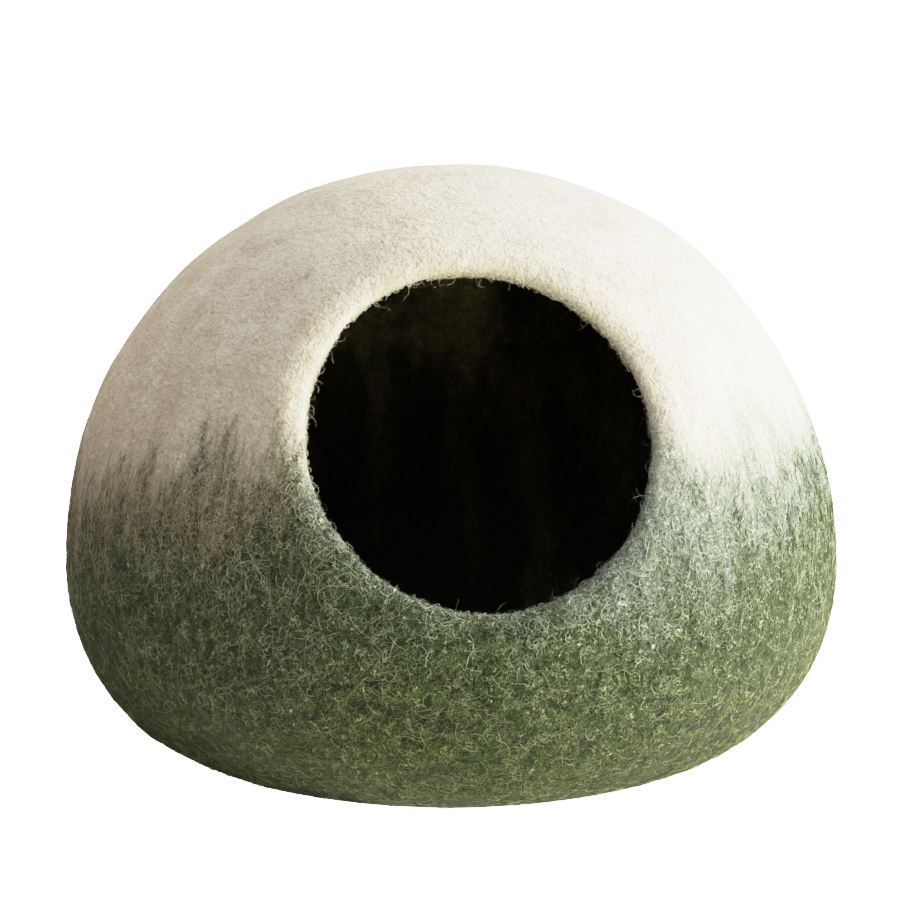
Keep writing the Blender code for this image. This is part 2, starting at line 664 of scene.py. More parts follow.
@dataclass
class LooseWool:
    """The strands that stand or lie loose on the felt's surface."""

    shell: FeltShell
    sorts: tuple[Strands, ...]
    clumps_per_metre: float = 55.0  # strands lie in clumps about 18 mm apart
    clump_range: Pair = (0.36, 0.64)  # from this value of the clumps' noise to that
    clump_share: Pair = (0.25, 1.75)  # the strands go from this share to that
    dips_per_metre: float = 160.0  # a flat strand dips into the felt about every 6 mm
    dip_range: Pair = (0.32, 0.68)
    dip_share: Pair = (-0.5, 1.7)  # of the lift; below 0 the strand is in the felt
    curl_apart: float = 60.0  # keeps one strand's curl from being the next one's
    dip_apart: float = 90.0
    free_end: float = 4.0  # the curl grows from the root to this many times its amount
    thin_from: float = 0.2  # from the strand's middle, as a share of its length
    thin_end: float = 0.45  # the ends' thickness, as a share of the middle's
    length_seed: int = 11
    tone_seed: int = 5
    outside_up_to: float = 0.3  # how far round the lip the outer face's strands go
    rim_band: float = 0.006
    lip_band: float = 0.28
    bare_right: float = 0.16  # half of this from the middle, the rim's right has the least hair
    bare_below: float = 0.15
    full_rise: float = 0.12
    least_hair: float = 0.35
    laid: list[Thing] = field(default_factory=list)

    def build(self) -> list[Thing]:
        """Lays every sort of strand.

        Returns:
            One mesh for each sort.
        """
        for sort in self.sorts:
            ground = self.ground(sort)
            values = self.sizes(sort, ground)
            self.laid.append(bake_down(ground, sort.name, self.strand_tree(sort), values))
        return self.laid

    def ground(self, sort: Strands) -> Thing:
        """Copies the shell's skin and marks where this sort grows and which way it runs.

        Args:
            sort: The strands.

        Returns:
            The marked copy.
        """
        mesh = self.shell.skin.data.copy()
        points = read_numbers(mesh.vertices, "co", 3).reshape(-1, 3).astype(float)
        marks = {name: read_numbers(mesh.attributes[name].data, "value") for name in ("inside", "from_rim")}
        height = points[:, 2]
        rising = smooth((height - sort.low) / (sort.full_low - sort.low))
        falling = 1.0 - smooth((height - sort.full_high) / (sort.high - sort.full_high))
        share = rising * falling * (marks["inside"] < self.outside_up_to)
        if sort.rim_only:
            share = self.rim_share(points, marks)
        mark_points(mesh, "share", share)
        mark_points(mesh, "grain", self.grain(points, sort.grain))
        return link_object(f"{sort.name}_ground", mesh)

    def rim_share(self, points: np.ndarray, marks: dict[str, np.ndarray]) -> np.ndarray:
        """Where hair grows round the rim: on the lip, and most at its upper left.

        Args:
            points: The skin's points.
            marks: How far inside each is, and how far from the rim.

        Returns:
            From 0 to 1 for each.
        """
        near = np.exp(-((marks["from_rim"] / self.rim_band) ** 2))
        side = np.exp(-(((marks["inside"] - 0.5) / self.lip_band) ** 2))
        left = smooth(0.5 - points[:, 0] / self.bare_right)
        high = smooth((points[:, 2] - self.bare_below) / self.full_rise)
        return near * side * (self.least_hair + (1.0 - self.least_hair) * left * high)

    def grain(self, points: np.ndarray, lean: float) -> np.ndarray:
        """Directions down the body, leaned sideways.

        Args:
            points: The skin's points.
            lean: The lean from straight down, to the right as seen from outside.

        Returns:
            A direction for each point.
        """
        form = self.shell.form
        level = np.maximum(np.hypot(points[:, 0], points[:, 1]), 1e-6)[:, None]
        out = points[:, :2] / level
        around = np.column_stack([-out[:, 1], out[:, 0], np.zeros(len(points))])
        height = (points[:, 2] - form.widest_height)[:, None]
        down = np.column_stack([out * height / (form.width / 2), -np.ones(len(points))])
        return down * math.cos(lean) + around * math.sin(lean)

    def sizes(self, sort: Strands, ground: Thing) -> dict:
        """The strand tree's inputs.

        Args:
            sort: The strands.
            ground: The marked skin.

        Returns:
            Values by input name.
        """
        mesh = ground.data
        areas = read_numbers(mesh.polygons, "area")
        share = read_numbers(mesh.attributes["share"].data, "value")
        grown = sum(area * share[list(face.vertices)].mean() for area, face in zip(areas, mesh.polygons))
        values = (
            sort.count / float(grown),
            sort.length,
            sort.length_spread,
            sort.thickness,
            sort.curl_size,
            sort.curl_amount,
            sort.lift,
            sort.spin,
        )
        return {**dict(zip(STRAND_SIZES, values)), "Seed": sort.seed}

    def strand_tree(self, sort: Strands) -> Tree:
        """Writes the rule that scatters bent strands, curls them and brings them back to the felt.

        Args:
            sort: The strands.

        Returns:
            The tree.
        """
        tree = new_tree(sort.name, STRAND_SIZES, seeded=True)
        graph = Graph(tree)
        given = tree.nodes.new("NodeGroupInput").outputs
        spread = self.scatter(graph, given)
        way = self.way(graph, given, spread.outputs["Normal"])
        bounds = [
            graph.add("ShaderNodeMath", {0: given["Length"], 1: given["Length spread"]}, operation=kind)
            for kind in ("SUBTRACT", "ADD")
        ]
        length = graph.add(
            "FunctionNodeRandomValue",
            {"Min": bounds[0], "Max": bounds[1], "Seed": self.length_seed},
            out=1,
            data_type="FLOAT",
        )
        placed = graph.add(
            "GeometryNodeInstanceOnPoints",
            {
                "Points": spread.outputs["Points"],
                "Instance": self.bows(graph, sort),
                "Pick Instance": True,
                "Rotation": way,
                "Scale": length,
            },
        )
        tone = graph.add(
            "FunctionNodeRandomValue",
            {"Min": 0.0, "Max": 1.0, "Seed": self.tone_seed},
            out=1,
            data_type="FLOAT",
        )
        toned = graph.add(
            "GeometryNodeStoreNamedAttribute",
            {"Geometry": placed, "Name": "tone", "Value": tone},
            data_type="FLOAT",
            domain="INSTANCE",
        )
        real = graph.add("GeometryNodeRealizeInstances", {"Geometry": toned})
        laid = self.curl(graph, given, real)
        if sort.lie is Lie.FLAT:
            laid = self.lay_down(graph, given, laid)
        finish_tree(graph, self.tubes(graph, given, laid), given["Material"])
        return tree

    def scatter(self, graph: Graph, given: bpy.types.NodeOutputs) -> bpy.types.Node:
        """Scatters the strands' roots in clumps, as densely as the ground is marked.

        Args:
            graph: The tree.
            given: The tree's inputs.

        Returns:
            The node that gives the roots and the felt's direction there.
        """
        share = graph.add("GeometryNodeInputNamedAttribute", {"Name": "share"}, data_type="FLOAT")
        place = graph.add("GeometryNodeInputPosition")
        clump = graph.add(
            "ShaderNodeTexNoise", {"Vector": place, "Scale": self.clumps_per_metre, "Detail": 1.0}
        )
        clump = graph.add("ShaderNodeMapRange", ramp(clump, self.clump_range, self.clump_share))
        density = graph.add("ShaderNodeMath", {0: share, 1: given["Density"]}, operation="MULTIPLY")
        density = graph.add("ShaderNodeMath", {0: density, 1: clump}, operation="MULTIPLY")
        spread = graph.tree.nodes.new("GeometryNodeDistributePointsOnFaces")
        for name, value in (("Mesh", given["Geometry"]), ("Density", density), ("Seed", given["Seed"])):
            graph.tree.links.new(value, spread.inputs[name])
        return spread

    @staticmethod
    def way(graph: Graph, given: bpy.types.NodeOutputs, normal: Socket) -> Socket:
        """Turns each strand along the grain, and away from it by up to its spin.

        Args:
            graph: The tree.
            given: The tree's inputs.
            normal: The felt's direction at the root.

        Returns:
            The strand's rotation.
        """
        grain = graph.add("GeometryNodeInputNamedAttribute", {"Name": "grain"}, data_type="FLOAT_VECTOR")
        upright = graph.add("FunctionNodeAlignRotationToVector", {"Vector": normal}, axis="Z")
        along = graph.add(
            "FunctionNodeAlignRotationToVector",
            {"Rotation": upright, "Vector": grain},
            axis="X",
            pivot_axis="Z",
        )
        least = graph.add("ShaderNodeMath", {0: given["Spin"], 1: -1.0}, operation="MULTIPLY")
        spin = graph.add(
            "FunctionNodeRandomValue",
            {"Min": least, "Max": given["Spin"], "Seed": given["Seed"]},
            out=1,
            data_type="FLOAT",
        )
        turn = graph.add("FunctionNodeAxisAngleToRotation", {"Axis": (0.0, 0.0, 1.0), "Angle": spin})
        return graph.add(
            "FunctionNodeRotateRotation", {"Rotation": along, "Rotate By": turn}, rotation_space="LOCAL"
        )

    @staticmethod
    def bows(graph: Graph, sort: Strands) -> Socket:
        """Arcs a metre long, bent by each of the sort's sweeps.

        Args:
            graph: The tree.
            sort: The strands.

        Returns:
            The arcs as instances.
        """
        arcs = graph.tree.nodes.new("GeometryNodeJoinGeometry")
        for sweep in sort.sweeps:
            centre = (0.0, 1.0 / sweep, 0.0)
            tilt = (0.0, 0.0, 0.0)
            start = -math.pi / 2 - sweep / 2
            if sort.lie is Lie.STANDING:
                centre = (1.0 / sweep, 0.0, 0.0)
                tilt = (math.pi / 2, 0.0, 0.0)
                start = math.pi
                sweep = -sweep
            arc = graph.add(
                "GeometryNodeCurveArc",
                {
                    "Resolution": sort.steps,
                    "Radius": 1.0 / abs(sweep),
                    "Start Angle": start,
                    "Sweep Angle": sweep,
                },
                mode="RADIUS",
            )
            moved = graph.add(
                "GeometryNodeTransform", {"Geometry": arc, "Translation": centre, "Rotation": tilt}
            )
            instance = graph.add("GeometryNodeGeometryToInstance", {"Geometry": moved})
            graph.tree.links.new(instance, arcs.inputs[0])
        return arcs.outputs[0]

    def curl(self, graph: Graph, given: bpy.types.NodeOutputs, strands: Socket) -> Socket:
        """Bends each strand its own way.

        Args:
            graph: The tree.
            given: The tree's inputs.
            strands: The strands as curves.

        Returns:
            The curled strands.
        """
        tone = graph.add("GeometryNodeInputNamedAttribute", {"Name": "tone"}, data_type="FLOAT")
        own = graph.add("ShaderNodeMath", {0: tone, 1: self.curl_apart}, operation="MULTIPLY")
        scale = graph.add("ShaderNodeMath", {0: 1.0, 1: given["Curl size"]}, operation="DIVIDE")
        wave = graph.add(
            "ShaderNodeTexNoise",
            {"W": own, "Scale": scale, "Detail": 1.0},
            out="Color",
            noise_dimensions="4D",
        )
        middle = graph.add("ShaderNodeVectorMath", {0: wave, 1: (0.5, 0.5, 0.5)}, operation="SUBTRACT")
        from_root = graph.add("GeometryNodeSplineParameter", out="Factor")
        free = graph.add("ShaderNodeMath", {0: from_root, 1: self.free_end}, operation="MULTIPLY")
        reach = graph.add("ShaderNodeMath", {0: given["Curl amount"], 1: free}, operation="MULTIPLY")
        offset = graph.add("ShaderNodeVectorMath", {0: middle, "Scale": reach}, operation="SCALE")
        return graph.add("GeometryNodeSetPosition", {"Geometry": strands, "Offset": offset})

    def lay_down(self, graph: Graph, given: bpy.types.NodeOutputs, strands: Socket) -> Socket:
        """Brings each strand back to the felt, a little above it and dipping in and out.

        Args:
            graph: The tree.
            given: The tree's inputs.
            strands: The strands as curves.

        Returns:
            The strands on the felt.
        """
        near = graph.add(
            "GeometryNodeProximity", {0: given["Geometry"]}, out="Position", target_element="FACES"
        )
        normal = graph.add("GeometryNodeInputNormal")
        outward = graph.add(
            "GeometryNodeSampleNearestSurface",
            {"Mesh": given["Geometry"], "Value": normal},
            data_type="FLOAT_VECTOR",
        )
        tone = graph.add("GeometryNodeInputNamedAttribute", {"Name": "tone"}, data_type="FLOAT")
        own = graph.add("ShaderNodeMath", {0: tone, 1: self.dip_apart}, operation="MULTIPLY")
        dip = graph.add(
            "ShaderNodeTexNoise",
            {"W": own, "Scale": self.dips_per_metre, "Detail": 0.0},
            noise_dimensions="4D",
        )
        share = graph.add("ShaderNodeMapRange", ramp(dip, self.dip_range, self.dip_share))
        height = graph.add("ShaderNodeMath", {0: share, 1: given["Lift"]}, operation="MULTIPLY")
        lift = graph.add("ShaderNodeVectorMath", {0: outward, "Scale": height}, operation="SCALE")
        place = graph.add("ShaderNodeVectorMath", {0: near, 1: lift}, operation="ADD")
        return graph.add("GeometryNodeSetPosition", {"Geometry": strands, "Position": place})

    def tubes(self, graph: Graph, given: bpy.types.NodeOutputs, strands: Socket) -> Socket:
        """Gives the strands their thickness, thinner at both ends.

        Args:
            graph: The tree.
            given: The tree's inputs.
            strands: The strands as curves.

        Returns:
            Closed three-sided tubes.
        """
        along = graph.add("GeometryNodeSplineParameter", out="Factor")
        side = graph.add("ShaderNodeMath", {0: along, 1: 0.5}, operation="SUBTRACT")
        far = graph.add("ShaderNodeMath", {0: side}, operation="ABSOLUTE")
        thinner = ramp(far, (self.thin_from, 0.5), (1.0, self.thin_end))
        radius = graph.add("ShaderNodeMapRange", thinner)
        half = graph.add("ShaderNodeMath", {0: given["Thickness"], 1: 0.5}, operation="MULTIPLY")
        rounded = graph.add("GeometryNodeSetCurveRadius", {0: strands, "Radius": radius})
        profile = graph.add("GeometryNodeCurvePrimitiveCircle", {"Resolution": 3, "Radius": half})
        tube = graph.add(
            "GeometryNodeCurveToMesh",
            {"Curve": rounded, "Profile Curve": profile, "Fill Caps": True},
        )
        return graph.add("GeometryNodeSetShadeSmooth", {"Geometry": tube})

    def dress(self, wool: Material) -> None:
        """Gives the strands their wool and sets them in the frame.

        Args:
            wool: The strands' material.
        """
        for piece in self.laid:
            set_in_frame(piece, wool)


# ---------------------------------------------------------------------------------------------------
# Wool
# ---------------------------------------------------------------------------------------------------


@dataclass(frozen=True)
class WoolLayUp:
    """Where the cream wool above meets the green wool below, and what each looks like.

    Colours are sRGB hex. The rest is in metres, apart from shares from 0 to 1. The veil is thin cream wool
    over the green.
    """

    cream: str = "F0EAD8"
    # The duller cream and veil colours are partly painted shade, drawn on the left and low down
    cream_dull_and_shaded: str = "D1C7B3"
    cream_fleck: str = "AC9B78"
    veil_dull_and_shaded: str = "D2C5A6"
    veil_pale: str = "D5E2DC"
    green_pale: str = "E2EDCB"
    green: str = "A3B57C"
    green_dark: str = "425326"
    green_deep: str = "141D09"
    green_warm: str = "D2DA94"
    # The inside wool is dark olive, drawn darker still as painted shade; its palest colour also paints
    # light on the back wall
    inside_deep_and_shaded: str = "33341F"
    inside_dark_and_shaded: str = "4C4A2F"
    inside_pale_and_lit: str = "DCCF98"
    speck: str = "6E5A3C"
    # The height where thick cream begins, and where nothing else is left, on the left and on the right
    first_cream: Pair = (0.158, 0.140)
    all_cream: Pair = (0.218, 0.244)
    # The height where the last of the veil ends, how deep its edge is, and how much it hides, likewise
    veil_end: Pair = (0.113, 0.098)
    veil_depth: Pair = (0.052, 0.085)
    veil_most: Pair = (0.49, 0.43)
    veil_end_far: float = 0.033
    # How much paler the veil is drawn on the rim, as painted light
    veil_lit_on_rim: float = 0.2
    veil_range: Pair = (0.0, 0.4)
    front_veil: float = 0.032
    # How far the meeting moves up or down in places
    rim_drop: float = 0.011
    left_drop: float = 0.018
    right_lift: float = 0.040
    front: Pair = (0.027, 0.008)  # on the left and on the right
    # Where each of those places begins and where it counts in full: x for right, far and left, y for
    # front and beside, and for the rim's left the share from the left side to the right
    right_from: Pair = (-0.14, 0.19)
    far_from: Pair = (0.13, 0.235)
    left_from: Pair = (-0.14, -0.21)
    front_from: Pair = (-0.12, -0.20)
    beside_from: Pair = (-0.178, -0.205)
    rim_left_share: Pair = (0.2, 0.5)
    # Cosines of 27.0 and 24.6 degrees from the entrance's axis; the clear edge is at about 24
    rim_cosines: Pair = (0.891, 0.909)
    # Licks and dashes are drawn up the body four times as long as they are wide
    drawn_level: float = 0.235
    drawn_up: float = 0.25
    wave_width: float = 0.0666666667
    meeting_wave: float = 0.034
    lick_width: float = 0.0135
    lick_height: float = 0.044
    lick_far: float = 0.026
    dash_width: float = 0.0024
    dash_height: float = 0.021
    # The green wool turns yellow from this height down to that, in patches of this size
    warm_below: float = 0.120
    warm_full: float = 0.045
    warm_patch: float = 0.0384615385
    warm_swing: float = 0.16

    def cream_share(self, graph: Graph, place: Socket) -> Socket:
        """How much cream wool lies on top: licks of green reach up into it, and it veils the green.

        Args:
            graph: The material's tree.
            place: The place on the object.

        Returns:
            From 0, green, to 1, cream.
        """
        across = graph.add("ShaderNodeSeparateXYZ", {0: place}, out="X")
        side = self.right_share(graph, place)
        far = graph.add("ShaderNodeMapRange", ramp(across, self.far_from))
        edge = self.meeting(graph, place, side, far)
        # Towards its right side the green reaches higher
        lift = graph.add("ShaderNodeMath", {0: far, 1: self.right_lift}, operation="MULTIPLY")
        full_edge = graph.add("ShaderNodeMath", {0: edge, 1: lift}, operation="SUBTRACT")
        first = graph.add("ShaderNodeMapRange", ramp(side, to=self.first_cream))
        whole = graph.add("ShaderNodeMapRange", ramp(side, to=self.all_cream))
        full = self.rise(graph, full_edge, first, whole)
        thin = self.veil_share(graph, place, edge, side, far)
        most = graph.add("ShaderNodeMapRange", ramp(side, to=self.veil_most))
        return graph.add("ShaderNodeMix", {0: most, 2: full, 3: thin}, data_type="FLOAT")

    def meeting(self, graph: Graph, place: Socket, side: Socket, far: Socket) -> Socket:
        """The height on the body, swung up and down so that the two colours meet unevenly.

        Args:
            graph: The material's tree.
            place: The place on the object.
            side: How far to the right it is.
            far: How near to the right edge.

        Returns:
            The swung height.
        """
        edge = graph.add("ShaderNodeSeparateXYZ", {0: place}, out="Z")
        drawn = self.draw_up(graph, place)
        wave = graph.add(
            "ShaderNodeTexNoise", {"Vector": drawn, "Scale": 1.0 / self.wave_width, "Detail": 1.0}
        )
        lick = graph.add(
            "ShaderNodeTexNoise",
            {
                "Vector": drawn,
                "Scale": 1.0 / self.lick_width,
                "Detail": 3.0,
                "Roughness": 0.6,
                "Distortion": 0.6,
            },
        )
        dash = graph.add(
            "ShaderNodeTexNoise",
            {"Vector": drawn, "Scale": 1.0 / self.dash_width, "Detail": 1.0, "Distortion": 0.6},
        )
        for pattern, reach in (
            (wave, self.meeting_wave),
            (lick, self.lick_height),
            (dash, self.dash_height),
        ):
            swung = self.swing(graph, pattern, reach * 2)
            edge = graph.add("ShaderNodeMath", {0: edge, 1: swung}, operation="ADD")
        # On the far right the licks are longer
        longer = self.swing(graph, lick, self.lick_far * 2)
        longer = graph.add("ShaderNodeMath", {0: longer, 1: far}, operation="MULTIPLY")
        edge = graph.add("ShaderNodeMath", {0: edge, 1: longer}, operation="ADD")
        # Beside the entrance the green reaches higher up
        depth = graph.add("ShaderNodeSeparateXYZ", {0: place}, out="Y")
        front = graph.add("ShaderNodeMapRange", ramp(side, to=self.front))
        near = graph.add("ShaderNodeMapRange", ramp(depth, self.front_from))
        front = graph.add("ShaderNodeMath", {0: near, 1: front}, operation="MULTIPLY")
        edge = graph.add("ShaderNodeMath", {0: edge, 1: front}, operation="SUBTRACT")
        # On the rim's left the cream is drawn down round the entrance: partly the lay-up, partly painted
        # light on the lit left rim
        rim = graph.add("ShaderNodeMapRange", ramp(side, self.rim_left_share, (self.rim_drop, 0.0)))
        rim = graph.add("ShaderNodeMath", {0: self.rim_share(graph, place), 1: rim}, operation="MULTIPLY")
        edge = graph.add("ShaderNodeMath", {0: edge, 1: rim}, operation="ADD")
        # Towards its left side the green starts lower
        across = graph.add("ShaderNodeSeparateXYZ", {0: place}, out="X")
        drop = graph.add("ShaderNodeMapRange", ramp(across, self.left_from, (0.0, self.left_drop)))
        return graph.add("ShaderNodeMath", {0: edge, 1: drop}, operation="ADD")

    def draw_up(self, graph: Graph, place: Socket) -> Socket:
        """Lays a pattern round the body so that it is drawn out up and down.

        Args:
            graph: The material's tree.
            place: The place on the object.

        Returns:
            The place in the pattern.
        """
        level = graph.add("ShaderNodeVectorMath", {0: place, 1: (1.0, 1.0, 0.0)}, operation="MULTIPLY")
        out = graph.add("ShaderNodeVectorMath", {0: level}, operation="NORMALIZE")
        flat = graph.add("ShaderNodeVectorMath", {0: out, "Scale": self.drawn_level}, operation="SCALE")
        squeeze = (0.0, 0.0, self.drawn_up)
        rise = graph.add("ShaderNodeVectorMath", {0: place, 1: squeeze}, operation="MULTIPLY")
        return graph.add("ShaderNodeVectorMath", {0: flat, 1: rise}, operation="ADD")

    def veil_share(self, graph: Graph, place: Socket, edge: Socket, side: Socket, far: Socket) -> Socket:
        """How much of the veil lies on the green.

        Args:
            graph: The material's tree.
            place: The place on the object.
            edge: The swung height.
            side: How far to the right the place is.
            far: How near to the right edge.

        Returns:
            From 0, none, to 1.
        """
        last = graph.add("ShaderNodeMapRange", ramp(side, to=self.veil_end))
        last = graph.add(
            "ShaderNodeMath", {0: far, 1: self.veil_end_far, 2: last}, operation="MULTIPLY_ADD"
        )
        # To the right of the entrance the veil reaches further down
        depth = graph.add("ShaderNodeSeparateXYZ", {0: place}, out="Y")
        beside = graph.add("ShaderNodeMapRange", ramp(depth, self.beside_from))
        lower = graph.add("ShaderNodeMath", {0: beside, 1: side}, operation="MULTIPLY")
        last = graph.add(
            "ShaderNodeMath", {0: lower, 1: -self.front_veil, 2: last}, operation="MULTIPLY_ADD"
        )
        deep = graph.add("ShaderNodeMapRange", ramp(side, to=self.veil_depth))
        end = graph.add("ShaderNodeMath", {0: last, 1: deep}, operation="ADD")
        return self.rise(graph, edge, last, end)

    def rim_share(self, graph: Graph, place: Socket) -> Socket:
        """How near a place is to the entrance's rim.

        Args:
            graph: The material's tree.
            place: The place on the object.

        Returns:
            1 on the rim, 0 from about 12 mm away.
        """
        form = ShellForm()
        heart = tuple(form.heart)
        from_heart = graph.add("ShaderNodeVectorMath", {0: place, 1: heart}, operation="SUBTRACT")
        way = graph.add("ShaderNodeVectorMath", {0: from_heart}, operation="NORMALIZE")
        turned = graph.add(
            "ShaderNodeVectorMath",
            {0: way, 1: tuple(form.entrance_axis)},
            operation="DOT_PRODUCT",
            out="Value",
        )
        return graph.add("ShaderNodeMapRange", ramp(turned, self.rim_cosines))

    @staticmethod
    def rise(graph: Graph, value: Socket, start: Socket | float, end: Socket | float) -> Socket:
        """Eases from 0 at the start to 1 at the end."""
        return graph.add(
            "ShaderNodeMapRange", ramp(value, (start, end)), interpolation_type="SMOOTHSTEP"
        )

    def veil(self, graph: Graph, place: Socket) -> Socket:
        """The veil's colour: dull on the left, partly as painted shade, tinged with green on the right, and
        paler on the rim as painted light.

        Args:
            graph: The material's tree.
            place: The place on the object.

        Returns:
            The colour.
        """
        # Painted light on the rim, and painted shade in the duller left
        pale = graph.add(
            "ShaderNodeMath",
            {0: self.rim_share(graph, place), 1: self.veil_lit_on_rim, 2: self.right_share(graph, place)},
            operation="MULTIPLY_ADD",
        )
        return blend(graph, pale, linear(self.veil_dull_and_shaded), linear(self.veil_pale), *self.veil_range)

    def right_share(self, graph: Graph, place: Socket) -> Socket:
        """How far to the right a place is: the cream was laid on thicker there, and the left is duller,
        partly as painted shade.
        """
        across = graph.add("ShaderNodeSeparateXYZ", {0: place}, out="X")
        return self.rise(graph, across, *self.right_from)

    def warm_share(self, graph: Graph, place: Socket) -> Socket:
        """How yellow the green wool is at a place: more so low on the body.

        Args:
            graph: The material's tree.
            place: The place on the object.

        Returns:
            From 0 to 1.
        """
        height = graph.add("ShaderNodeSeparateXYZ", {0: place}, out="Z")
        patch = graph.add(
            "ShaderNodeTexNoise", {"Vector": place, "Scale": 1.0 / self.warm_patch, "Detail": 2.0}
        )
        swung = self.swing(graph, patch, self.warm_swing)
        moved = graph.add("ShaderNodeMath", {0: swung, 1: height}, operation="ADD")
        return graph.add("ShaderNodeMapRange", ramp(moved, (self.warm_below, self.warm_full)))

    @staticmethod
    def swing(graph: Graph, pattern: Socket, reach: float) -> Socket:
        """Turns a pattern from 0 to 1 into a swing either way."""
        return graph.add("ShaderNodeMath", {0: pattern, 1: reach, 2: -reach / 2}, operation="MULTIPLY_ADD")


def blend(graph: Graph, share: Socket, first: Paint, second: Paint, start: float, end: float) -> Socket:
    """Mixes two colours as a pattern goes from start to end.

    Args:
        graph: The material's tree.
        share: The pattern.
        first: The colour at the start, or the socket that gives it.
        second: The colour at the end.
        start: The pattern's value at the start.
        end: Its value at the end.

    Returns:
        The mixed colour.
    """
    eased = graph.add("ShaderNodeMapRange", ramp(share, (start, end)))
    return graph.add("ShaderNodeMix", {0: eased, 6: first, 7: second}, out=2, data_type="RGBA")


@dataclass(frozen=True)
class FeltedWool:
    """Wet-felted wool: rubbed in soap and hot water until the crimped fibres lock into a dense wall.

    It is quite matt, with a faint sheen of fibre ends, and its fibres and tufts catch the light. Sizes are
    in metres. A range is a pair of values of a pattern, where a mix of two colours begins and ends.
    """

    lay_up: WoolLayUp
    # Pattern sizes, from a grain of 1.6 mm to patches of 53 mm
    fine_grain: float = 0.00161290323
    tuft: float = 0.00666666667
    dull_patch: float = 0.0294117647
    fleck: float = 0.00333333333
    speck_gap: float = 0.0263157895
    speck_radius: float = 0.030  # as a share of the gap
    speck_rare: float = 0.90  # this share of the places has no speck
    speck_range: Pair = (0.0, 1.4)  # a speck stays a little cream
    inside_patch: float = 0.0526315789
    inside_upright: float = 0.3  # the patches are this much of their height wide
    crimp_length: float = 0.00476190476
    fibre_gaps: tuple[float, ...] = (0.0024, 0.0034, 0.0017)
    fibre_turns: tuple[Triple, ...] = ((0.9, 0.3, 0.4), (-0.7, 0.8, 0.0), (0.2, -1.0, 1.1))
    fibre_draw: float = 2.6
    fibre_crimp: float = 0.0030
    fibre_thickness: float = 0.000074
    fibre_clump: float = 0.45  # clumps of fibres, as a share of their pattern's scale
    fibre_clump_range: Pair = (0.38, 0.62)
    fibre_brightest: float = 1.15
    roughness: float = 0.95
    specular: float = 0.15
    sheen: float = 0.15
    sheen_roughness: float = 0.6
    # How far the tufts stand up, how much the fine grain and the fibres add, and the cream's share of it
    depth: float = 0.0021
    fine_height: float = 0.5
    fibre_height: float = 0.7
    cream_bump: float = 0.72
    # How much the fine grain adds to the pattern of each wool, and the tufts to the cream's
    fine_in_green: float = 0.8
    fine_in_cream: float = 1.2
    fine_in_threads: float = 1.2
    tufts_in_cream: float = 0.55
    ground_range: Pair = (0.74, 1.06)
    top_range: Pair = (0.40, 0.60)
    over_range: Pair = (0.45, 0.90)
    inside_range: Pair = (0.6, 0.95)
    inside_patch_range: Pair = (0.50, 0.78)
    inside_fibre_range: Pair = (-0.6, 0.6)
    cream_range: Pair = (1.24, 1.71)
    fleck_range: Pair = (0.56, 0.86)
    thread_most: Pair = (3.4, 2.2)  # how strongly single fibres stand out, on the left and on the right
    # The cream is cleaner and paler high up, on the right and on the rim: partly its own tone, partly
    # painted light on the lit side, and the duller left partly painted shade
    clean_lit_range: Pair = (0.06, 0.22)
    clean_lit_most: float = 0.21
    clean_lit_on_rim: float = 0.10
    clean_lit_of_flecks: float = 0.15
    # The painted patch of light on the back wall: its middle, half width and edge, and where it fades in
    lit_patch_middle: float = 0.031
    lit_patch_range: Pair = (0.032, 0.004)
    lit_patch_height: Pair = (0.12, 0.25)
    lit_patch_depth: Pair = (0.05, 0.15)
    lit_patch_most: float = 0.26

    def make(self) -> Material:
        """Writes the felt's material.

        Returns:
            The material.
        """
        wool = self.lay_up
        material, graph = new_material("wet_felted_wool")
        place = graph.add("ShaderNodeTexCoord", out="Object")
        share = wool.cream_share(graph, place)
        fibres = self.fibres(graph, place)
        # Single fibres are too fine to show in the render, so the finest grain is drawn coarser
        fine = graph.add(
            "ShaderNodeTexNoise",
            {"Vector": place, "Scale": 1.0 / self.fine_grain, "Detail": 2.0, "Distortion": 0.5},
        )
        tufts = graph.add(
            "ShaderNodeTexNoise",
            {"Vector": place, "Scale": 1.0 / self.tuft, "Detail": 2.0, "Distortion": 0.8},
        )
        cream = self.cream(graph, place, fine, tufts)
        green = self.green(graph, place, fibres, fine, tufts)
        # A fibre of cream shows where it crosses the green, long before the cream hides it
        threads = graph.add(
            "ShaderNodeMath", {0: fine, 1: self.fine_in_threads, 2: fibres}, operation="MULTIPLY_ADD"
        )
        threads = graph.add("ShaderNodeMath", {0: threads, 1: 1.0}, operation="SUBTRACT")
        spread = self.hump(graph, share, wool.right_share(graph, place))
        shown = graph.add("ShaderNodeMath", {0: threads, 1: spread, 2: share}, operation="MULTIPLY_ADD")
        over = blend(graph, share, wool.veil(graph, place), cream, *self.over_range)
        outside = blend(graph, shown, green, over, 0.0, 1.0)
        room = self.inside(graph, place, fibres)
        colour = blend(graph, self.inside_share(graph), outside, room, *self.inside_range)
        shader = graph.add(
            "ShaderNodeBsdfPrincipled",
            {
                "Base Color": colour,
                "Roughness": self.roughness,
                "Specular IOR Level": self.specular,
                "Sheen Weight": self.sheen,
                "Sheen Roughness": self.sheen_roughness,
                "Normal": self.bump(graph, fibres, fine, tufts, share),
            },
        )
        graph.add("ShaderNodeOutputMaterial", {"Surface": shader})
        return material

